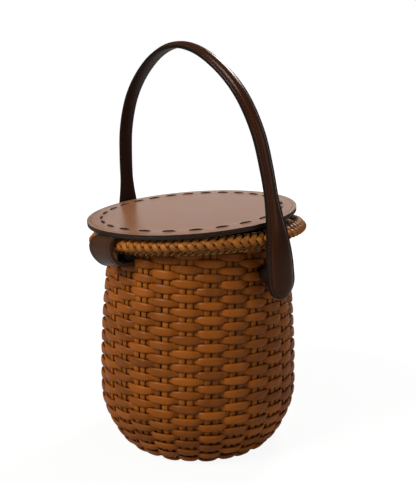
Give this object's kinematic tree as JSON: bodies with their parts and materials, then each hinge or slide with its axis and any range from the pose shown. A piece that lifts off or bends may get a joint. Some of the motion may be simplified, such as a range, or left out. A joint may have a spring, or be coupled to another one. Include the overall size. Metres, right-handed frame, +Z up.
{
  "type": "rattan basket bag",
  "caption": "Round woven rattan basket bag with a braided rim, a laced leather lid on a loop hinge, and a leather top handle that swings on studs.",
  "frame": {"origin": "centre of the flat underside, on the surface the bag stands on", "axes": "+Z up; X along the handle's pivot line, with the rim's high side at +X; the lid's hinge loop is at -Y and the lid rises towards +Y"},
  "size_m": [0.236, 0.2252, 0.3942],
  "materials": {
    "cane": "satin honey-brown cane",
    "braid_cane": "satin tan cane",
    "leather": "glossy dark brown",
    "dark_leather": "dark brown, painted edges",
    "board": "plain fibre board",
    "cord": "plain cotton cord",
    "brass": "aged brass"
  },
  "bodies": {
    "basket": {"woven_base": "cane", "woven_wall": "cane", "rim_twining": "cane", "rim_braid": "braid_cane", "hinge_loop": "leather", "pivot_spacer_right": "dark_leather", "pivot_spacer_left": "dark_leather", "inner_washer_right": "leather", "inner_washer_left": "leather", "stud_burr_right": "brass", "stud_burr_left": "brass", "pivot_stud_right": "brass", "pivot_stud_left": "brass"},
    "lid": {"lid_top": "leather", "lid_board": "board", "lid_lining": "leather", "lid_lace": "dark_leather", "hinge_tab": "leather"},
    "handle": {"handle_outer": "leather", "handle_inner": "dark_leather", "handle_core": "cord"}
  },
  "joints": [
    {"name": "lid_open", "type": "hinge", "parent": "basket", "child": "lid", "pos_m": [0, -0.11, 0.2199], "axis": [1, 0, 0], "range_deg": [0, 26]},
    {"name": "handle_swing", "type": "hinge", "parent": "basket", "child": "handle", "pos_m": [0, 0, 0.1848], "axis": [1, 0, 0], "range_deg": [-150, 138]}
  ]
}
